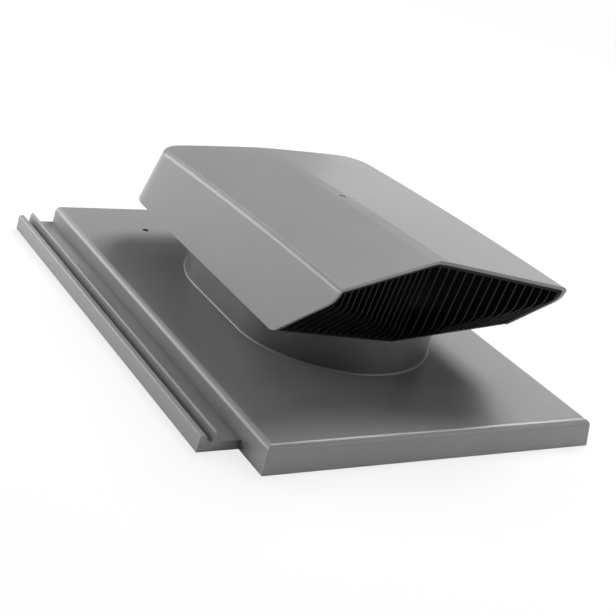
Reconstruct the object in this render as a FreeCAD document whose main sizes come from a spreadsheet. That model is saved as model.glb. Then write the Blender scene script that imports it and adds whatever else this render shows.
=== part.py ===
import FreeCAD, Part
import math
import os

import Sketcher

# Roof tile vent: a moulded interlocking tile, a collar, a soffit, a hood and a finned grille.
# Millimetres. Each piece is drawn with X = 0 on the hood's centre plane and Y = 0 on the tile's
# front edge, +Y up the roof. Tile, collar and soffit heights count from the tile's underside,
# hood and grille heights from the eave, the level of the hood's lower edge.

SIZES = {
    # tile plate
    "cover_width": 300.0,
    "tile_length": 420.0,
    "tile_height": 22.0,
    "tile_wall": 3.0,
    "left_draft": 1.5,
    "right_draft": 3.0,
    "front_draft": 2.0,
    "edge_round": 5.0,
    # side lock, the channel that the next tile laps over
    "lock_width": 33.0,
    "lock_start": 35.0,
    "lock_floor": 7.5,
    "lock_draft": 1.0,
    "outer_rib_width": 5.0,
    "outer_rib_top": 12.9,
    "outer_rib_round": 1.5,
    "lock_groove": 4.5,
    "inner_rib_foot": 5.5,
    "inner_rib_tip": 2.5,
    "inner_rib_top": 15.2,
    "inner_rib_crown": 1.5,
    "lap_clearance": 0.6,
    # underside ribs, hanging nibs and nail holes
    "rib_width": 2.5,
    "rib_drop": 10.0,
    "cross_rib_first": 60.0,
    "cross_rib_pitch": 100.0,
    "long_rib_pitch": 62.0,
    "nib_width": 28.0,
    "nib_depth": 12.0,
    "nib_from_head": 24.0,
    "nib_spacing": 180.0,
    "nail_spacing": 161.0,
    "nail_from_front": 370.0,
    "nail_hole": 6.0,
    "rim_drop": 8.0,
    # collar: the long-round duct through tile and soffit, stepped in at both ends
    "duct_radius": 85.0,
    "duct_front": 174.0,
    "duct_rear": 255.0,
    "collar_wall": 3.6,
    "collar_show": 42.0,
    "collar_rise": 10.0,
    "collar_bead": 1.2,
    "collar_shoulder": 1.8,
    "spigot_drop": 16.0,
    "socket_clearance": 0.3,
    # soffit: the plate that closes the hood from below
    "soffit_recess": 1.0,
    "soffit_plate": 2.5,
    # hood shell
    "hood_wall": 2.8,
    "eave_half_width": 111.0,
    "eave_back": 368.0,
    "eave_corner": 40.0,
    "corner_taper": 0.27,
    "side_draft": 7.05,
    "back_lean": 27.4,
    "back_bow": 1000.0,
    "crease_round": 4.5,
    "roof_front": 10.0,
    "roof_middle": 198.0,
    "roof_back": 375.0,
    "ridge_front": 70.6,
    "ridge_middle": 64.16,
    "ridge_back": 50.6,
    "crease_front": 61.0,
    "crease_middle": 57.84,
    "crease_back": 49.3,
    "crease_half_width": 103.4,
    "ridge_half_flat": 6.0,
    "gate_radius": 2.8,
    "gate_depth": 1.0,
    "lug_length": 16.0,
    "lug_height": 6.0,
    "lug_reach": 6.0,
    "lug_first": 140.0,
    "lug_pitch": 75.0,
    # mouth: the brow leans back a little, the jaw below it rakes under
    "brow_apex": 72.1,
    "brow_sweep": 17.0,
    "brow_rake": 10.76,
    "jaw_apex": 73.3,
    "jaw_sweep": 7.1,
    "jaw_rake": 47.1,
    "bend_round": 35.0,
    "tip_bevel": 3.0,
    # grille insert
    "grille_clearance": 0.4,
    "grille_recess": 1.5,
    "grille_depth": 28.0,
    "grille_bend": 10.0,
    "frame_width": 2.4,
    "frame_depth": 8.0,
    "sill_height": 3.0,
    "apron_wall": 2.0,
    "apron_top": 8.0,
    "keel_gap": 1.0,
    "fin_pitch": 6.9,
    "fin_wall": 1.1,
    "fin_set_back": 5.0,
}

CROSS_RIBS = 4
LONG_RIBS = 3
LUGS_EACH_SIDE = 3
FINS = 29
CAVITY_CHORDS = 6

# Construction solids reach past what they cut by these amounts.
OVERCUT = 5.0
CUT_REACH = 30.0

# A chamfer with this share of a round's radius touches that round.
CHAMFER_SHARE = 2.0 - math.sqrt(2.0)


class Term:
    """A sheet value, or a sum worked out from some: the expression's text and its number."""

    def __init__(self, text, value):
        self.text = text
        self.value = value

    def joined(self, sign, other, value):
        return Term(f"({self.text} {sign} {other.text})", value)

    def __add__(self, other):
        other = term(other)
        return self.joined("+", other, self.value + other.value)

    def __sub__(self, other):
        other = term(other)
        return self.joined("-", other, self.value - other.value)

    def __mul__(self, other):
        other = term(other)
        return self.joined("*", other, self.value * other.value)

    def __truediv__(self, other):
        other = term(other)
        return self.joined("/", other, self.value / other.value)

    def __neg__(self):
        return term(0.0) - self

    __radd__ = __add__
    __rmul__ = __mul__

    def __rsub__(self, other):
        return term(other) - self

    def of_angle(self, name):
        value = getattr(math, name)(math.radians(self.value))
        return Term(f"{name}({self.text} * 1 deg)", value)

    def sine(self):
        return self.of_angle("sin")

    def cosine(self):
        return self.of_angle("cos")

    def tangent(self):
        return self.of_angle("tan")

    def arc_cosine(self):
        return Term(f"(acos({self.text}) / 1 deg)", math.degrees(math.acos(self.value)))

    def root(self):
        return Term(f"sqrt({self.text})", math.sqrt(self.value))


def term(value):
    """A plain number as a term; a term as it is."""
    return value if isinstance(value, Term) else Term(repr(float(value)), float(value))


class Sizes:
    """The driving dimensions as attributes."""

    def __init__(self, values):
        for name, value in values.items():
            setattr(self, name, Term("sizes." + name, value))


s = Sizes(SIZES)
doc = FreeCAD.newDocument("roof_tile_vent")


def write_sheet():
    """Puts every driving dimension in a cell of its own, named by its alias."""
    sheet = doc.addObject("Spreadsheet::Sheet", "sizes")
    for row, (name, value) in enumerate(SIZES.items(), start=1):
        sheet.set(f"A{row}", name)
        sheet.set(f"B{row}", str(value))
        sheet.setAlias(f"B{row}", name)
    doc.recompute()


def bind(feature, prop, value):
    """Ties a property to the sheet."""
    feature.setExpression(prop, term(value).text)


def new_body(name):
    body = doc.addObject("PartDesign::Body", name)
    body.AllowCompound = True
    return body


def new_sketch(body, name, role, offset=0.0):
    """A sketch on one of its body's origin planes, moved along the plane's normal."""
    sketch = body.newObject("Sketcher::SketchObject", name)
    plane = next(f for f in body.Origin.OriginFeatures if f.Role == role)
    sketch.AttachmentSupport = [(plane, "")]
    sketch.MapMode = "FlatFace"
    bind(sketch, "AttachmentOffset.Base.z", offset)
    return sketch


def hold(sketch, kind, value, *where):
    """Adds a dimension and ties it to the sheet."""
    value = term(value)
    index = sketch.addConstraint(Sketcher.Constraint(kind, *where, value.value))
    sketch.setExpression(f"Constraints[{index}]", value.text)


def place_point(sketch, geometry, point, x, y):
    """Holds a point of the sketch at x, y from the sketch's origin."""
    hold(sketch, "DistanceX", x, -1, 1, geometry, point)
    hold(sketch, "DistanceY", y, -1, 1, geometry, point)


def vector(x, y, z=0.0):
    return FreeCAD.Vector(term(x).value, term(y).value, term(z).value)


def arc_between(start, end, radius, left):
    """The minor arc from start to end, with its centre on the left of the way or on the right."""
    chord = end.sub(start)
    rise = math.sqrt(max(radius ** 2 - (chord.Length / 2) ** 2, 0.0))
    side = FreeCAD.Vector(-chord.y, chord.x, 0.0).normalize()
    centre = start.add(chord.multiply(0.5)).add(side.multiply(rise if left else -rise))
    circle = Part.Circle(centre, FreeCAD.Vector(0, 0, 1), radius)
    first, last = (start, end) if left else (end, start)
    return Part.ArcOfCircle(circle, circle.parameter(first), circle.parameter(last))


def outline(sketch, corners):
    """A closed outline through corners (x, y), (x, y, radius) for a left-hand arc to the next
    corner, or (x, y, radius, False) for a right-hand one."""
    points = [vector(corner[0], corner[1]) for corner in corners]
    ends = []
    for index, corner in enumerate(corners):
        start, end = points[index], points[(index + 1) % len(points)]
        if len(corner) == 2:
            geometry = sketch.addGeometry(Part.LineSegment(start, end), False)
            ends.append((geometry, 1, 2))
            continue
        left = corner[3] if len(corner) == 4 else True
        arc = arc_between(start, end, term(corner[2]).value, left)
        geometry = sketch.addGeometry(arc, False)
        ends.append((geometry, 1, 2) if left else (geometry, 2, 1))
    for index, corner in enumerate(corners):
        geometry, start, end = ends[index]
        following, first, _ = ends[(index + 1) % len(ends)]
        sketch.addConstraint(Sketcher.Constraint("Coincident", geometry, end, following, first))
        place_point(sketch, geometry, start, corner[0], corner[1])
        if len(corner) > 2:
            hold(sketch, "Radius", corner[2], geometry)


def rectangle(sketch, x_low, y_low, x_high, y_high):
    outline(sketch, [(x_low, y_low), (x_high, y_low), (x_high, y_high), (x_low, y_high)])


def long_round(sketch, radius):
    """The duct's outline: two half circles joined by straight sides."""
    front, rear = vector(0, s.duct_front), vector(0, s.duct_rear)
    up = FreeCAD.Vector(0, 0, 1)
    size = term(radius).value
    half = math.pi
    near = sketch.addGeometry(Part.ArcOfCircle(Part.Circle(front, up, size), half, 2 * half), False)
    far = sketch.addGeometry(Part.ArcOfCircle(Part.Circle(rear, up, size), 0, half), False)
    right_ends = [vector(size, s.duct_front), vector(size, s.duct_rear)]
    left_ends = [vector(-size, s.duct_rear), vector(-size, s.duct_front)]
    right = sketch.addGeometry(Part.LineSegment(*right_ends), False)
    left = sketch.addGeometry(Part.LineSegment(*left_ends), False)
    for one, one_end, other, other_end in [
        (near, 2, right, 1), (right, 2, far, 1), (far, 2, left, 1), (left, 2, near, 1)
    ]:
        sketch.addConstraint(Sketcher.Constraint("Tangent", one, one_end, other, other_end))
    sketch.addConstraint(Sketcher.Constraint("Equal", near, far))
    place_point(sketch, near, 3, 0.0, s.duct_front)
    place_point(sketch, far, 3, 0.0, s.duct_rear)
    hold(sketch, "Radius", radius, near)


def pad(body, sketch, name, length, reverse=False, middle=False):
    feature = body.newObject("PartDesign::Pad", name)
    feature.Profile = sketch
    feature.Reversed = reverse
    if middle:
        feature.SideType = "Symmetric"
    bind(feature, "Length", length)
    return feature


def pocket_through(body, sketch, name):
    """Cuts the sketch's outline right through the body, both ways."""
    feature = body.newObject("PartDesign::Pocket", name)
    feature.Profile = sketch
    feature.SideType = "Symmetric"
    feature.Type = "ThroughAll"
    return feature


def loft(body, name, sections, cut=False, ruled=True):
    kind = "PartDesign::SubtractiveLoft" if cut else "PartDesign::AdditiveLoft"
    feature = body.newObject(kind, name)
    feature.Profile = sections[0]
    feature.Sections = sections[1:]
    feature.Ruled = ruled
    return feature


def ease_edges(body, kind, name, base, wanted, size):
    """Fillets or chamfers the edges of base for which wanted(edge) is true."""
    doc.recompute()
    names = [f"Edge{i}" for i, edge in enumerate(base.Shape.Edges, start=1) if wanted(edge)]
    feature = body.newObject("PartDesign::" + kind, name)
    feature.Base = (base, names)
    bind(feature, "Radius" if kind == "Fillet" else "Size", size)


def pattern(body, name, original, axis_role, pitch, count):
    """Repeats a feature along one of the body's origin axes."""
    feature = body.newObject("PartDesign::LinearPattern", name)
    axis = next(f for f in body.Origin.OriginFeatures if f.Role == axis_role)
    feature.Originals = [original]
    feature.Direction = (axis, [""])
    feature.Occurrences = count
    bind(feature, "Length", pitch * (count - 1))
    body.Tip = feature
    return feature


def boolean(kind, name, base, tool):
    feature = doc.addObject("Part::" + kind, name)
    feature.Base = base
    feature.Tool = tool
    return feature


def fused(name, pieces):
    feature = doc.addObject("Part::MultiFuse", name)
    feature.Shapes = pieces
    return feature


# Levels and places that several pieces share
EAVE = s.tile_height + s.collar_show
SOFFIT_TOP = s.soffit_recess + s.soffit_plate
HALF_COVER = s.cover_width / 2
TILE_UNDERSIDE = s.tile_height - s.tile_wall
SOCKET_RADIUS = s.duct_radius - s.collar_shoulder + s.socket_clearance
GRILLE_BACK = s.duct_front - s.duct_radius - s.keel_gap


def round_reach(draft, height, radius):
    """How far a round runs along a flat top, and in and down a wall that leans in by draft."""
    slant = (draft * draft + height * height).root()
    reach = radius * (slant - draft) / height
    return reach, reach * draft / slant, reach * height / slant


def plate_block(body, name, inset, height):
    """A block drawn in by inset, with drafted walls and rounded left, front and right top edges."""
    half = HALF_COVER - inset
    radius = s.edge_round - inset
    left_top, left_in, left_down = round_reach(s.left_draft, height, radius)
    right_top, right_in, right_down = round_reach(s.right_draft, height, radius)
    left = s.left_draft - half
    right = half - s.right_draft
    across = new_sketch(body, name + "_across", "XZ_Plane", -inset)
    outline(across, [
        (-half, 0.0),
        (half, 0.0),
        (right + right_in, height - right_down, radius),
        (right - right_top, height),
        (left + left_top, height, radius),
        (left - left_in, height - left_down),
    ])
    pad(body, across, name + "_block", s.tile_length - inset * 2, reverse=True)

    front_top, front_in, front_down = round_reach(s.front_draft, height, radius)
    front = s.front_draft + inset
    ahead = -OVERCUT
    along = new_sketch(body, name + "_along", "YZ_Plane")
    outline(along, [
        (ahead, 0.0),
        (inset, 0.0),
        (front - front_in, height - front_down, radius, False),
        (front + front_top, height),
        (front + front_top, height + OVERCUT),
        (ahead, height + OVERCUT),
    ])
    pocket_through(body, along, name + "_front")


def tile_plate(body):
    """A hollow plate, open below, with a wall of even thickness."""
    plate_block(body, "plate", term(0.0), s.tile_height)
    cavity = new_body("plate_cavity")
    plate_block(cavity, "cavity", s.tile_wall, TILE_UNDERSIDE)
    hollow = body.newObject("PartDesign::Boolean", "plate_hollow")
    hollow.setObjects([cavity])
    hollow.Type = "Cut"


def side_lock(body):
    """The ribbed channel along the left side, closed at both ends and open below."""
    edge = -HALF_COVER - s.lock_width
    rib = edge + s.lock_draft
    groove = rib + s.outer_rib_width
    inner = groove + s.lock_groove
    slope = (s.inner_rib_foot - s.inner_rib_tip) / 2
    half_tip = s.inner_rib_tip / 2
    crown = s.inner_rib_crown - (s.inner_rib_crown * s.inner_rib_crown - half_tip * half_tip).root()
    rib_top, rib_in, rib_down = round_reach(s.lock_draft, s.outer_rib_top, s.outer_rib_round)
    root = s.tile_wall / 2 - HALF_COVER
    under = s.lock_floor - s.tile_wall
    channel = new_sketch(body, "lock_section", "XZ_Plane", -s.lock_start)
    outline(channel, [
        (edge, 0.0),
        (edge + s.tile_wall, 0.0),
        (edge + s.tile_wall, under),
        (root, under),
        (root, s.lock_floor),
        (inner + s.inner_rib_foot, s.lock_floor),
        (inner + s.inner_rib_foot - slope, s.inner_rib_top - crown, s.inner_rib_crown),
        (inner + slope, s.inner_rib_top - crown),
        (inner, s.lock_floor),
        (groove, s.lock_floor),
        (groove, s.outer_rib_top - s.outer_rib_round, s.outer_rib_round),
        (groove - s.outer_rib_round, s.outer_rib_top),
        (rib + rib_top, s.outer_rib_top, s.outer_rib_round),
        (rib - rib_in, s.outer_rib_top - rib_down),
    ])
    pad(body, channel, "lock_channel", s.tile_length - s.lock_start, reverse=True)
    middle = s.lock_floor - s.tile_wall / 2
    lean = s.lock_draft * middle / s.outer_rib_top
    for name, start in [("front", s.lock_start), ("rear", s.tile_length - s.tile_wall)]:
        end = new_sketch(body, "lock_end_" + name, "XZ_Plane", -start)
        outline(end, [(edge, 0.0), (root, 0.0), (root, middle), (edge + lean, middle)])
        pad(body, end, "lock_wall_" + name, s.tile_wall, reverse=True)


def tile_ribs(body):
    """Stiffening ribs and hanging nibs on the underside, short of the rim and of the lap."""
    lap_edge = HALF_COVER - s.lock_width - s.lap_clearance
    rim = s.edge_round + s.tile_wall
    level = TILE_UNDERSIDE - s.rib_drop
    depth = s.rib_drop + s.tile_wall / 2
    half = s.rib_width / 2

    cross = new_sketch(body, "cross_rib_section", "XY_Plane", level)
    rectangle(cross, rim - HALF_COVER, s.cross_rib_first - half, lap_edge - half, s.cross_rib_first + half)
    cross_rib = pad(body, cross, "cross_rib", depth)
    pattern(body, "cross_ribs", cross_rib, "Y_Axis", s.cross_rib_pitch, CROSS_RIBS)

    first = -s.long_rib_pitch * ((LONG_RIBS - 1) / 2)
    along = new_sketch(body, "long_rib_section", "XY_Plane", level)
    rectangle(along, first - half, rim, first + half, s.tile_length - rim)
    long_rib = pad(body, along, "long_rib", depth)
    pattern(body, "long_ribs", long_rib, "X_Axis", s.long_rib_pitch, LONG_RIBS)

    lap = new_sketch(body, "lap_rib_section", "XY_Plane", level)
    rectangle(lap, lap_edge - s.rib_width, rim, lap_edge, s.tile_length - rim)
    pad(body, lap, "lap_rib", depth)

    nib = new_sketch(body, "nib_section", "XY_Plane")
    nib_y = s.tile_length - s.nib_from_head
    left = -s.nib_spacing / 2 - s.nib_width / 2
    rectangle(nib, left, nib_y - s.nib_depth / 2, left + s.nib_width, nib_y + s.nib_depth / 2)
    nib_block = pad(body, nib, "nib", TILE_UNDERSIDE + s.tile_wall / 2)
    pattern(body, "nibs", nib_block, "X_Axis", s.nib_spacing, 2)


def tile_openings(body):
    """The collar's hole with a rim below it, and the nail holes."""
    rim = new_sketch(body, "rim_section", "XY_Plane", TILE_UNDERSIDE - s.rim_drop)
    long_round(rim, SOCKET_RADIUS + s.rib_width)
    pad(body, rim, "collar_rim", s.rim_drop + s.tile_wall / 2)
    way = new_sketch(body, "collar_hole_section", "XY_Plane")
    long_round(way, SOCKET_RADIUS)
    pocket_through(body, way, "collar_hole")

    nails = new_sketch(body, "nail_section", "XY_Plane")
    for side in (-1.0, 1.0):
        place = s.nail_spacing * (side / 2)
        centre = vector(place, s.nail_from_front)
        circle = Part.Circle(centre, FreeCAD.Vector(0, 0, 1), s.nail_hole.value / 2)
        hole = nails.addGeometry(circle, False)
        place_point(nails, hole, 3, place, s.nail_from_front)
        hold(nails, "Radius", s.nail_hole / 2, hole)
    pocket_through(body, nails, "nail_holes")


def tile_lap(body):
    """Room on the right for the next tile's side lock, with a notch behind for its two ribs."""
    inside = HALF_COVER - s.lock_width - s.lap_clearance
    behind = s.tile_length + OVERCUT
    wall = HALF_COVER - s.right_draft - s.tile_wall
    for name, x_high, y_low, height in [
        ("lap_room", HALF_COVER + OVERCUT, s.lock_start - s.lap_clearance, s.lock_floor),
        ("lap_notch", wall, s.tile_length - s.tile_wall - OVERCUT, s.inner_rib_top),
    ]:
        sketch = new_sketch(body, name + "_section", "XY_Plane")
        rectangle(sketch, inside, y_low, x_high, behind)
        room = body.newObject("PartDesign::Pocket", name)
        room.Profile = sketch
        room.Reversed = True
        bind(room, "Length", height + s.lap_clearance)


def base_tile():
    body = new_body("base_tile")
    tile_plate(body)
    side_lock(body)
    tile_ribs(body)
    tile_openings(body)
    tile_lap(body)
    return body


def cowl_outline(sketch, level, inset, front, chords=None):
    """The hood's plan at a level: drafted sides, rounded rear corners and a slightly bowed back.
    The corners are arcs, or so many chords."""
    half = s.eave_half_width - level * s.side_draft.tangent() - inset / s.side_draft.cosine()
    back = s.eave_back - level * s.back_lean.tangent() - inset / s.back_lean.cosine()
    corner = s.eave_corner - level * s.corner_taper - inset
    bow = s.back_bow - inset
    across = half - corner
    along = ((bow - corner) * (bow - corner) - across * across).root()
    share = bow / (bow - corner)
    bow_centre = back - bow
    start = bow_centre + along
    turn = (across / (bow - corner)).arc_cosine()
    between = []
    for step in range(1, chords or 1):
        angle = turn * (step / chords)
        between.append((across + corner * angle.cosine(), start + corner * angle.sine()))
    arc = () if chords else (corner,)
    outline(sketch, [
        (-half, front),
        (half, front),
        (half, start, *arc),
        *between,
        (across * share, bow_centre + along * share, bow),
        (-across * share, bow_centre + along * share, *arc),
        *[(-x, y) for x, y in reversed(between)],
        (-half, start),
    ])


def roof_outline(sketch, ridge, crease, inset):
    """What lies above the roof at one station: two slopes that rise to a narrow flat ridge."""
    reach = s.eave_half_width + CUT_REACH
    edge = ridge - (ridge - crease) * reach / s.crease_half_width - inset
    peak = ridge - (ridge - crease) * s.ridge_half_flat / s.crease_half_width - inset
    top = s.ridge_front + CUT_REACH
    outline(sketch, [
        (-reach, edge),
        (-s.ridge_half_flat, peak),
        (s.ridge_half_flat, peak),
        (reach, edge),
        (reach, top),
        (-reach, top),
    ])


def cowl(name, inset, floor, crease_kind=None, chords=None):
    """The hood's outer form drawn in by inset, from the level floor up to its roof."""
    body = new_body(name)
    top = s.ridge_front + OVERCUT
    front = s.roof_front + OVERCUT + inset
    sections = []
    for part_name, level in [("_low", floor), ("_high", top)]:
        sketch = new_sketch(body, name + part_name, "XY_Plane", level)
        cowl_outline(sketch, term(level), term(inset), front, chords)
        sections.append(sketch)
    loft(body, name + "_walls", sections)
    stations = []
    for part_name, place, ridge, crease in [
        ("_roof_front", s.roof_front, s.ridge_front, s.crease_front),
        ("_roof_middle", s.roof_middle, s.ridge_middle, s.crease_middle),
        ("_roof_back", s.roof_back, s.ridge_back, s.crease_back),
    ]:
        sketch = new_sketch(body, name + part_name, "XZ_Plane", -place)
        roof_outline(sketch, ridge, crease, inset)
        stations.append(sketch)
    roof = loft(body, name + "_roof", stations, cut=True, ruled=False)

    def creased(edge):
        box = edge.BoundBox
        central = max(abs(box.XMin), abs(box.XMax)) < s.crease_half_width.value / 2
        ridge = central and box.YLength > box.XLength
        return box.ZMin > s.crease_back.value / 2 and box.YMax > s.roof_middle.value and not ridge

    if crease_kind:
        size = s.crease_round - inset
        if crease_kind == "Chamfer":
            size = size * CHAMFER_SHARE
        ease_edges(body, crease_kind, name + "_creases", roof, creased, size)
    return body


def mouth_profile(sketch, side, shift, set_back, rounded):
    """Brow and jaw lines at a distance from the centre plane, with the brow set further back. The hood's
    edge has a round where they meet and a bevel at its tip; the grille's faces have a bevel there."""
    brow = s.brow_apex - s.brow_sweep.tangent() * side + shift + set_back
    jaw = s.jaw_apex + s.jaw_sweep.tangent() * side + shift
    brow_slope = s.brow_rake.tangent()
    jaw_slope = s.jaw_rake.tangent()
    bend_z = (jaw - brow) / (jaw_slope - brow_slope)
    bend_y = brow - bend_z * brow_slope
    bend = s.bend_round if rounded else s.grille_bend
    reach = bend * ((s.jaw_rake - s.brow_rake) / 2).tangent()
    upper = (bend_y - reach * s.brow_rake.sine(), bend_z + reach * s.brow_rake.cosine())
    lower = (bend_y + reach * s.jaw_rake.sine(), bend_z - reach * s.jaw_rake.cosine())
    top = s.ridge_front + CUT_REACH
    far = -s.eave_half_width
    if rounded:
        tip_slope = (s.jaw_rake.sine() + 1.0) / s.jaw_rake.cosine()
        foot = [
            (jaw + s.tip_bevel + tip_slope * CUT_REACH, -CUT_REACH),
            (jaw - s.tip_bevel * s.jaw_rake.sine(), s.tip_bevel * s.jaw_rake.cosine()),
            (*lower, bend, False),
        ]
    else:
        foot = [(jaw + jaw_slope * CUT_REACH, -CUT_REACH), lower]
    outline(sketch, [
        (far, -CUT_REACH),
        *foot,
        upper,
        (brow - brow_slope * top, top),
        (far, top),
    ])


def mouth(name, shift, set_back=0.0, rounded=False):
    """All that lies before the mouth's two swept faces, moved back by shift, the brow by set_back more."""
    body = new_body(name)
    reach = s.eave_half_width + CUT_REACH
    sections = []
    for part_name, place, side in [
        ("_left", -reach, reach), ("_middle", term(0.0), term(0.0)), ("_right", reach, reach)
    ]:
        sketch = new_sketch(body, name + part_name, "YZ_Plane", place)
        mouth_profile(sketch, side, term(shift), set_back, rounded)
        sections.append(sketch)
    loft(body, name + "_loft", sections)
    return body


def collar():
    """The duct's collar: a bead round its foot, a spigot through the tile and a neck through the soffit."""
    body = new_body("collar")
    bead_low = new_sketch(body, "bead_low", "XY_Plane", s.tile_height)
    long_round(bead_low, s.duct_radius + s.collar_bead)
    bead_high = new_sketch(body, "bead_high", "XY_Plane", s.tile_height + s.collar_bead)
    long_round(bead_high, s.duct_radius)
    loft(body, "bead", [bead_low, bead_high])
    tube = new_sketch(body, "tube_section", "XY_Plane", s.tile_height)
    long_round(tube, s.duct_radius)
    pad(body, tube, "tube", s.collar_show + s.soffit_recess)
    ends = new_sketch(body, "ends_section", "XY_Plane", s.tile_height - s.spigot_drop)
    long_round(ends, s.duct_radius - s.collar_shoulder)
    pad(body, ends, "spigot_and_neck", s.spigot_drop + s.collar_show + SOFFIT_TOP + s.collar_rise)
    way = new_sketch(body, "duct_section", "XY_Plane")
    long_round(way, s.duct_radius - s.collar_wall)
    pocket_through(body, way, "duct")
    return body


def soffit():
    """The plate on the collar's shoulder that closes the hood from below."""
    body = new_body("soffit")
    plate = new_sketch(body, "soffit_section", "XY_Plane", EAVE + s.soffit_recess)
    inset = s.hood_wall + s.socket_clearance
    cowl_outline(plate, SOFFIT_TOP, inset, GRILLE_BACK + s.socket_clearance)
    pad(body, plate, "soffit_sheet", s.soffit_plate)
    way = new_sketch(body, "neck_hole_section", "XY_Plane")
    long_round(way, SOCKET_RADIUS)
    pocket_through(body, way, "neck_hole")
    return body


def hood_lugs():
    """Lugs inside the hood's side walls that stand on the soffit."""
    body = new_body("hood_lugs")
    wall_at_top = s.eave_half_width - (SOFFIT_TOP + s.lug_height) * s.side_draft.tangent()
    outside = wall_at_top - s.hood_wall / 2
    for name, x_low, x_high in [
        ("left", -outside, s.lug_reach - outside), ("right", outside - s.lug_reach, outside)
    ]:
        sketch = new_sketch(body, name + "_lug_section", "XY_Plane", SOFFIT_TOP)
        rectangle(sketch, x_low, s.lug_first, x_high, s.lug_first + s.lug_length)
        lug = pad(body, sketch, name + "_lug", s.lug_height)
        pattern(body, name + "_lugs", lug, "Y_Axis", s.lug_pitch, LUGS_EACH_SIDE)
    return body


def gate_mark():
    """The plug that leaves a shallow recess on the ridge, where the hood was moulded from."""
    plug = doc.addObject("Part::Cylinder", "gate_mark")
    bind(plug, "Radius", s.gate_radius)
    bind(plug, "Height", OVERCUT)
    bind(plug, "Placement.Base.y", s.roof_middle)
    bind(plug, "Placement.Base.z", s.ridge_middle - s.gate_depth)
    return plug


def hood():
    """The hood: its skin less its cavity, with its lugs, cut off at the mouth."""
    skin = cowl("hood_skin", 0.0, 0.0, "Fillet")
    cavity = cowl("hood_cavity", s.hood_wall, -OVERCUT, "Chamfer", CAVITY_CHORDS)
    shell = boolean("Cut", "hood_shell", skin, cavity)
    whole = fused("hood_whole", [shell, hood_lugs()])
    marked = boolean("Cut", "hood_marked", whole, gate_mark())
    return boolean("Cut", "hood", marked, mouth("hood_mouth", 0.0, rounded=True))


def fin_plates():
    """Upright plates across the mouth, an even pitch apart."""
    body = new_body("fin_plates")
    first = -s.fin_pitch * ((FINS - 1) / 2)
    sketch = new_sketch(body, "fin_section", "YZ_Plane", first)
    rectangle(sketch, 0.0, -CUT_REACH, GRILLE_BACK, s.ridge_front)
    fin = pad(body, sketch, "fin", s.fin_wall, middle=True)
    pattern(body, "fins", fin, "X_Axis", s.fin_pitch, FINS)
    return body


def sill_zone():
    """What lies below the sill's top: two slopes that fall to the keel."""
    body = new_body("sill_zone")
    reach = s.eave_half_width + CUT_REACH
    slope = s.jaw_rake.tangent()
    keel = (s.jaw_apex + s.grille_recess - GRILLE_BACK) / slope + s.sill_height
    edge = keel + s.jaw_sweep.tangent() * reach / slope
    sketch = new_sketch(body, "sill_section", "XZ_Plane")
    outline(sketch, [(-reach, -CUT_REACH), (reach, -CUT_REACH), (reach, edge), (0.0, keel), (-reach, edge)])
    pad(body, sketch, "sill_prism", GRILLE_BACK, reverse=True)
    return body


def apron_zone():
    """The slice at the grille's back, up to a little above the soffit."""
    body = new_body("apron_zone")
    reach = s.eave_half_width + CUT_REACH
    sketch = new_sketch(body, "apron_section", "XZ_Plane", -GRILLE_BACK)
    rectangle(sketch, -reach, -CUT_REACH, reach, s.apron_top)
    pad(body, sketch, "apron_prism", s.apron_wall)
    return body


def grille():
    """The finned insert: frame, sill and apron round a row of upright fins that follow the mouth."""
    fit = s.hood_wall + s.grille_clearance
    inside = cowl("grille_envelope", fit, -CUT_REACH, "Chamfer")
    slab = boolean("Common", "grille_slab", inside, mouth("grille_rear", s.grille_recess + s.grille_depth))
    block = boolean("Cut", "grille_block", slab, mouth("grille_face", s.grille_recess))
    opening = cowl("grille_opening", fit + s.frame_width, -CUT_REACH)
    border = boolean("Cut", "frame_border", block, opening)
    frame_rear = mouth("frame_rear", s.grille_recess + s.frame_depth)
    fin_block = boolean("Cut", "fin_block", slab, mouth("fin_face", s.grille_recess, s.fin_set_back))
    pieces = [
        boolean("Common", "frame", border, frame_rear),
        boolean("Common", "sill", block, sill_zone()),
        boolean("Common", "apron", block, apron_zone()),
        boolean("Common", "fin_row", fin_block, fin_plates()),
    ]
    whole = fused("grille_whole", pieces)
    behind = doc.addObject("Part::Box", "behind_grille")
    bind(behind, "Length", s.cover_width)
    bind(behind, "Width", s.tile_length)
    bind(behind, "Height", s.cover_width)
    bind(behind, "Placement.Base.x", -HALF_COVER)
    bind(behind, "Placement.Base.y", GRILLE_BACK)
    bind(behind, "Placement.Base.z", -HALF_COVER)
    return boolean("Cut", "grille", whole, behind)


def check(pieces):
    """Stops if any object failed or any piece is empty or broken."""
    for item in doc.Objects:
        failed = [state for state in item.State if state in ("Invalid", "Error")]
        if failed:
            raise RuntimeError(f"{item.Name}: {item.State}")
    for piece in pieces:
        if piece.Shape.isNull() or not piece.Shape.isValid():
            raise RuntimeError(f"{piece.Label}: empty or broken shape")


def main():
    write_sheet()
    levels = [(base_tile(), 0.0), (collar(), 0.0), (soffit(), 0.0), (hood(), EAVE), (grille(), EAVE)]
    pieces = []
    for piece, level in levels:
        bind(piece, "Placement.Base.x", s.lock_width / 2)
        bind(piece, "Placement.Base.y", -s.tile_length / 2)
        bind(piece, "Placement.Base.z", level)
        pieces.append(piece)
    doc.recompute()
    check(pieces)
    os.makedirs("parts", exist_ok=True)
    for piece in pieces:
        piece.Shape.exportStep(f"parts/{piece.Label}.step")
        box = piece.Shape.BoundBox
        print(piece.Label, len(piece.Shape.Solids), round(piece.Shape.Volume), box)


main()
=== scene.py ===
import math

import bpy
import numpy as np
from mathutils import Matrix, Vector


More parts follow.
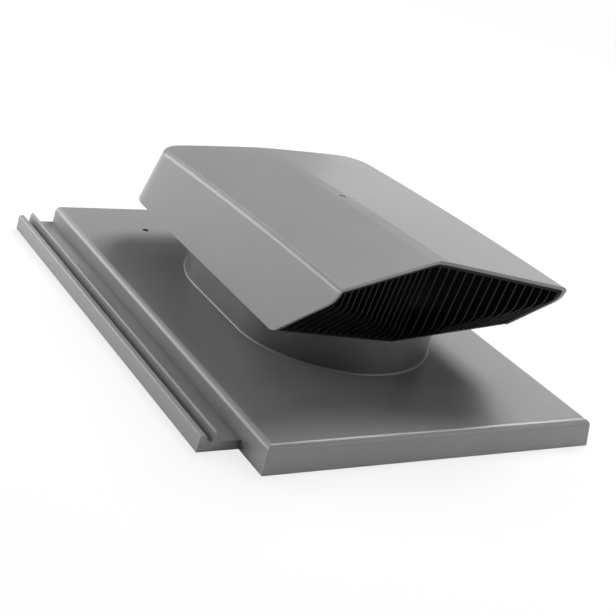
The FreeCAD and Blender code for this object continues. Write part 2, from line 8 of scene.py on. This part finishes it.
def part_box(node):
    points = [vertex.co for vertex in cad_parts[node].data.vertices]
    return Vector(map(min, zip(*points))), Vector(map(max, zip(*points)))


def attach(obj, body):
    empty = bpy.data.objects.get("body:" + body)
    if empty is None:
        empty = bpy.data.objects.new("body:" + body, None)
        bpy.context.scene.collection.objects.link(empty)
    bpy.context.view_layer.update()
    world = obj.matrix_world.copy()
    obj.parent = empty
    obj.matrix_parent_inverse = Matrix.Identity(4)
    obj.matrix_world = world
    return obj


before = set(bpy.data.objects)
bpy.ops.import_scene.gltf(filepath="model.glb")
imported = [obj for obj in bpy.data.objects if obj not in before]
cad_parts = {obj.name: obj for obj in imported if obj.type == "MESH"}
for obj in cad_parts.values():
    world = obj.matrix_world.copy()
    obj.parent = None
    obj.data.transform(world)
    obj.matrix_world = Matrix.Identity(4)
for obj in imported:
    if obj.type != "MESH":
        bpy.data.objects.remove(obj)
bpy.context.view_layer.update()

# Camera: its place in metres and its axes, fitted to the tile's corners, and its lens and sensor in mm
CAMERA_PLACE = (-0.5732, -0.8314, 0.4384)
CAMERA_RIGHT = (0.8435, -0.4866, 0.2277)
CAMERA_UP = (0.01265, 0.4418, 0.8970)
CAMERA_BACK = (-0.5370, -0.7538, 0.3788)
CAMERA_LENS = 75.68
CAMERA_SENSOR = 36.0

# The point of the vent that the lamps face
MIDDLE = (0.0165, 0.0, 0.06)

# Soft lamps: place, then width and height, in metres, and power in watts
LAMPS = {
    "key": ((1.10, 0.47, 1.68), (1.1, 1.1), 50.0),
    "back": ((-0.25, 1.30, 1.25), (1.6, 1.5), 9.0),
    "left": ((-0.92, 0.88, 0.34), (1.4, 0.62), 13.2),
    "right": ((1.48, 1.15, 0.17), (1.2, 0.4), 2.2),
    "front": ((1.00, -1.45, 0.64), (1.6, 0.9), 8.0),
    "lip": ((1.10, -0.70, 1.58), (0.6, 0.6), 2.5),
}
SKY_STRENGTH = 0.02

# The bead at the collar's foot: its radius, how far it reaches into the wall, and the bevel of the solid's
# foot, in metres
BEAD_RADIUS = 0.0015
BEAD_REACH = 0.0003
FOOT_BEVEL = 0.0012

# The bead's points round the outline and along the quarter circle, and the angle from which an edge is sharp
BEAD_TURNS = 240
BEAD_ARC = 9
BEAD_SHARP = math.radians(40.0)

# Linear colours
GREY_PLASTIC = (0.262, 0.262, 0.2655)
# The collar's grey is darker than the rest, in part as painted shade for the hood's shade over it
COLLAR_GREY_WITH_PAINTED_SHADE = (0.115, 0.115, 0.117)
BLACK_PLASTIC = (0.0055, 0.0055, 0.0057)
FLOOR_WHITE = (0.90, 0.90, 0.90)
PURE_WHITE = (1.0, 1.0, 1.0)

# Both plastics
PLASTIC_IOR = 1.49

# Satin grey: noise scales, the span of lightness or roughness that each gives, and bump heights in metres
FLOW_SCALE = 9.0
FLOW_SHADE = (0.97, 1.03)
GRAIN_SCALE = 900.0
GRAIN_SHADE = (0.985, 1.015)
GRAIN_HEIGHT = 0.00012
GRAIN_STRENGTH = 0.25
SHEEN_SCALE = 14.0
SHEEN_ROUGHNESS = (0.285, 0.335)
WAVE_SCALE = 26.0
WAVE_HEIGHT = 0.0006
WAVE_STRENGTH = 0.04

# Matte black, in the same way
BLACK_CLOUD_SCALE = 18.0
BLACK_SHADE = (0.85, 1.15)
BLACK_ROUGHNESS = (0.48, 0.58)
BLACK_GRAIN_SCALE = 1100.0
BLACK_GRAIN_HEIGHT = 0.0001
BLACK_GRAIN_STRENGTH = 0.25
BLACK_SPECULAR = 0.25

# Floor and backdrop, in metres. The floor lies just below the tile.
FLOOR_SIZE = 40.0
FLOOR_DROP = 0.0005
BACKDROP_RADIUS = 15.0
BACKDROP_HEIGHT = 2.4
BACKDROP_MIDDLE = 1.0
BACKDROP_SIDES = 96
GROUND_ROUGHNESS = 0.9

# The share of white glow near the tile and far off, the two distances in metres, and how much of that glow
# the plastic mirrors from the floor and from the backdrop
GROUND_GLOW = (0.80, 0.98)
GROUND_REACH = (0.35, 1.10)
FLOOR_MIRRORED = 1.0
BACKDROP_MIRRORED = 0.2


class Finish:
    """A material with helpers that add its nodes and join them."""

    def __init__(self, name):
        self.material = bpy.data.materials.new(name)
        self.material.use_nodes = True
        self.tree = self.material.node_tree
        self.shader = self.tree.nodes["Principled BSDF"]
        self.place = self.tree.nodes.new("ShaderNodeTexCoord").outputs["Object"]

    def give(self, socket, value):
        """Links a socket to another node's output, or sets it to a constant."""
        if isinstance(value, bpy.types.NodeSocket):
            self.tree.links.new(value, socket)
        else:
            socket.default_value = value

    def node(self, kind, inputs=(), **settings):
        """A new node with its settings and inputs."""
        made = self.tree.nodes.new(kind)
        for name, value in settings.items():
            setattr(made, name, value)
        for socket, value in dict(inputs).items():
            self.give(made.inputs[socket], value)
        return made

    def join(self, socket, value):
        """Gives the plastic shader one of its inputs."""
        self.give(self.shader.inputs[socket], value)

    def math(self, operation, first, second):
        return self.node("ShaderNodeMath", {0: first, 1: second}, operation=operation).outputs[0]

    def noise(self, scale, detail=2.0, roughness=0.5):
        """Noise over the piece's own coordinates."""
        made = self.node("ShaderNodeTexNoise", {
            "Vector": self.place, "Scale": scale, "Detail": detail, "Roughness": roughness,
        })
        return made.outputs["Fac"]

    def span(self, value, low, high, low_in=0.3, high_in=0.7):
        """The value, carried from its own range, which for noise is the usual one, to low and high."""
        made = self.node("ShaderNodeMapRange", {
            "Value": value, "From Min": low_in, "From Max": high_in, "To Min": low, "To Max": high,
        })
        return made.outputs["Result"]

    def tint(self, colour, amount):
        """The colour, with its lightness multiplied by an amount close to 1."""
        made = self.node("ShaderNodeHueSaturation", {"Color": (*colour, 1.0), "Value": amount})
        return made.outputs["Color"]

    def bump(self, height, distance, strength, below=None):
        """Normals of a relief, on top of another bump's where there is one below."""
        inputs = {"Height": height, "Distance": distance, "Strength": strength}
        if below is not None:
            inputs["Normal"] = below
        return self.node("ShaderNodeBump", inputs).outputs["Normal"]


def satin_plastic(name, colour):
    """Moulded plastic: faint flow clouds in the colour, a fine spark-eroded grain and soft sheen."""
    finish = Finish(name)
    flow = finish.noise(FLOW_SCALE, 3.0, 0.6)
    grain = finish.noise(GRAIN_SCALE)
    shade = finish.math("MULTIPLY", finish.span(flow, *FLOW_SHADE), finish.span(grain, *GRAIN_SHADE))
    finish.join("Base Color", finish.tint(colour, shade))
    finish.join("Roughness", finish.span(finish.noise(SHEEN_SCALE, 4.0, 0.6), *SHEEN_ROUGHNESS))
    relief = finish.bump(grain, GRAIN_HEIGHT, GRAIN_STRENGTH)
    finish.join("Normal", finish.bump(finish.noise(WAVE_SCALE, 1.0), WAVE_HEIGHT, WAVE_STRENGTH, relief))
    finish.join("IOR", PLASTIC_IOR)
    return finish.material


def matte_black():
    """Moulded black plastic of the grille, with a fine grain and dull patches."""
    finish = Finish("matte_black_plastic")
    grain = finish.noise(BLACK_GRAIN_SCALE)
    clouds = finish.noise(BLACK_CLOUD_SCALE, 3.0)
    finish.join("Base Color", finish.tint(BLACK_PLASTIC, finish.span(clouds, *BLACK_SHADE)))
    finish.join("Roughness", finish.span(clouds, *BLACK_ROUGHNESS))
    finish.join("Normal", finish.bump(grain, BLACK_GRAIN_HEIGHT, BLACK_GRAIN_STRENGTH))
    finish.join("IOR", PLASTIC_IOR)
    finish.join("Specular IOR Level", BLACK_SPECULAR)
    return finish.material


def dress(node, material):
    """Gives a moulded piece its one finish."""
    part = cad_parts[node]
    part.data.materials.clear()
    part.data.materials.append(material)


def collar_bead(material):
    """The round bead at the collar's foot, a quarter circle carried along a long-round outline.

    The outline at a turn angle is a circle of the wall's radius, with its two halves pulled apart along Y
    by the straight sides. Round the quarter circle, the radius grows by the bead's radius times the cosine
    and the height by the same times the sine. Two more points inside the wall close the section.
    """
    low, high = np.array(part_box("collar"))
    middle = (low + high) / 2
    half = (high - low) / 2
    tile_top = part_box("base_tile")[1][2]
    arc = np.linspace(0.0, math.pi / 2, BEAD_ARC)
    out = np.append(BEAD_RADIUS * np.cos(arc), [-BEAD_REACH, -BEAD_REACH])
    rise = np.append(BEAD_RADIUS * np.sin(arc), [BEAD_RADIUS, 0.0])
    turn = ((np.arange(BEAD_TURNS) + 0.5) * 2 * math.pi / BEAD_TURNS)[:, None]
    radius = half[0] - FOOT_BEVEL + out
    straight = (half[1] - half[0]) * np.sign(np.sin(turn))
    across = middle[0] + radius * np.cos(turn)
    along = middle[1] + radius * np.sin(turn) + straight
    height = np.broadcast_to(tile_top + rise, across.shape)
    points = np.stack([across, along, height], axis=-1).reshape(-1, 3)

    here = np.arange(across.size).reshape(across.shape)
    ahead = np.roll(here, -1, axis=0)
    corners = [here, ahead, np.roll(ahead, -1, axis=1), np.roll(here, -1, axis=1)]
    faces = np.stack(corners, axis=-1).reshape(-1, 4)
    mesh = bpy.data.meshes.new("collar_bead")
    mesh.from_pydata(points.tolist(), [], faces.tolist())
    mesh.polygons.foreach_set("use_smooth", np.ones(len(faces), dtype=bool))
    mesh.set_sharp_from_angle(angle=BEAD_SHARP)
    mesh.materials.append(material)
    bead = bpy.data.objects.new("collar_bead", mesh)
    bpy.context.scene.collection.objects.link(bead)
    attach(bead, "root")


def ground_finish(name, mirrored):
    """White that keeps a shadow near the tile, glows further off, and shows in reflections by a share."""
    finish = Finish(name)
    finish.join("Base Color", (*FLOOR_WHITE, 1.0))
    finish.join("Roughness", GROUND_ROUGHNESS)
    finish.join("Specular IOR Level", 0.0)
    rays = finish.node("ShaderNodeLightPath").outputs
    seen = finish.math("MAXIMUM", rays["Is Camera Ray"], rays["Is Transmission Ray"])
    seen = finish.math("MAXIMUM", seen, finish.math("MULTIPLY", rays["Is Glossy Ray"], mirrored))
    reach = finish.node("ShaderNodeVectorMath", {0: finish.place}, operation="LENGTH").outputs["Value"]
    share = finish.math("MULTIPLY", seen, finish.span(reach, *GROUND_GLOW, *GROUND_REACH))
    glow = finish.node("ShaderNodeEmission", {"Color": (*PURE_WHITE, 1.0), "Strength": 1.0})
    mixed = finish.node("ShaderNodeMixShader", {0: share, 1: finish.shader.outputs[0], 2: glow.outputs[0]})
    finish.give(finish.tree.nodes["Material Output"].inputs["Surface"], mixed.outputs[0])
    return finish.material


def set_ground(name, mirrored):
    """Names the ground piece that was just added and gives it its white."""
    piece = bpy.context.object
    piece.name = name
    piece.data.materials.append(ground_finish("white_" + name, mirrored))


def ground():
    """A wide pale sheet under the tile and a low round backdrop far off."""
    bpy.ops.mesh.primitive_plane_add(size=FLOOR_SIZE, location=(0.0, 0.0, -FLOOR_DROP))
    set_ground("floor", FLOOR_MIRRORED)
    bpy.ops.mesh.primitive_cylinder_add(
        vertices=BACKDROP_SIDES, radius=BACKDROP_RADIUS, depth=BACKDROP_HEIGHT, end_fill_type="NOTHING",
        location=(0.0, 0.0, BACKDROP_MIDDLE),
    )
    set_ground("backdrop", BACKDROP_MIRRORED)


def lamp(name, place, size, power):
    """A soft lamp of a width and height at place that faces the vent's middle."""
    light = bpy.data.lights.new(name, "AREA")
    light.shape = "RECTANGLE"
    light.size, light.size_y = size
    light.energy = power
    body = bpy.data.objects.new(name, light)
    bpy.context.scene.collection.objects.link(body)
    body.location = place
    body.rotation_mode = "QUATERNION"
    body.rotation_quaternion = (Vector(MIDDLE) - Vector(place)).to_track_quat("-Z", "Y")


def sky():
    """An even, faint, soft light from all round."""
    world = bpy.data.worlds.new("studio")
    world.use_nodes = True
    light = world.node_tree.nodes["Background"].inputs
    light["Color"].default_value = (*PURE_WHITE, 1.0)
    light["Strength"].default_value = SKY_STRENGTH
    bpy.context.scene.world = world


def camera():
    """The camera at the photograph's angle."""
    view = bpy.data.cameras.new("camera")
    view.sensor_width = CAMERA_SENSOR
    view.lens = CAMERA_LENS
    body = bpy.data.objects.new("camera", view)
    bpy.context.scene.collection.objects.link(body)
    axes = Matrix((CAMERA_RIGHT, CAMERA_UP, CAMERA_BACK)).transposed()
    body.matrix_world = Matrix.Translation(CAMERA_PLACE) @ axes.to_4x4()
    bpy.context.scene.camera = body


grey = satin_plastic("satin_grey_plastic", GREY_PLASTIC)
for node_name in ("base_tile", "soffit", "hood"):
    dress(node_name, grey)
# The collar's darker grey is partly painted shade, standing in for the shade under the hood
dress("collar", satin_plastic("collar_grey_with_painted_shade", COLLAR_GREY_WITH_PAINTED_SHADE))
dress("grille", matte_black())
collar_bead(grey)
ground()
for lamp_name, (place, size, power) in LAMPS.items():
    lamp(lamp_name, place, size, power)
sky()
camera()
bpy.context.scene.view_settings.view_transform = "Standard"
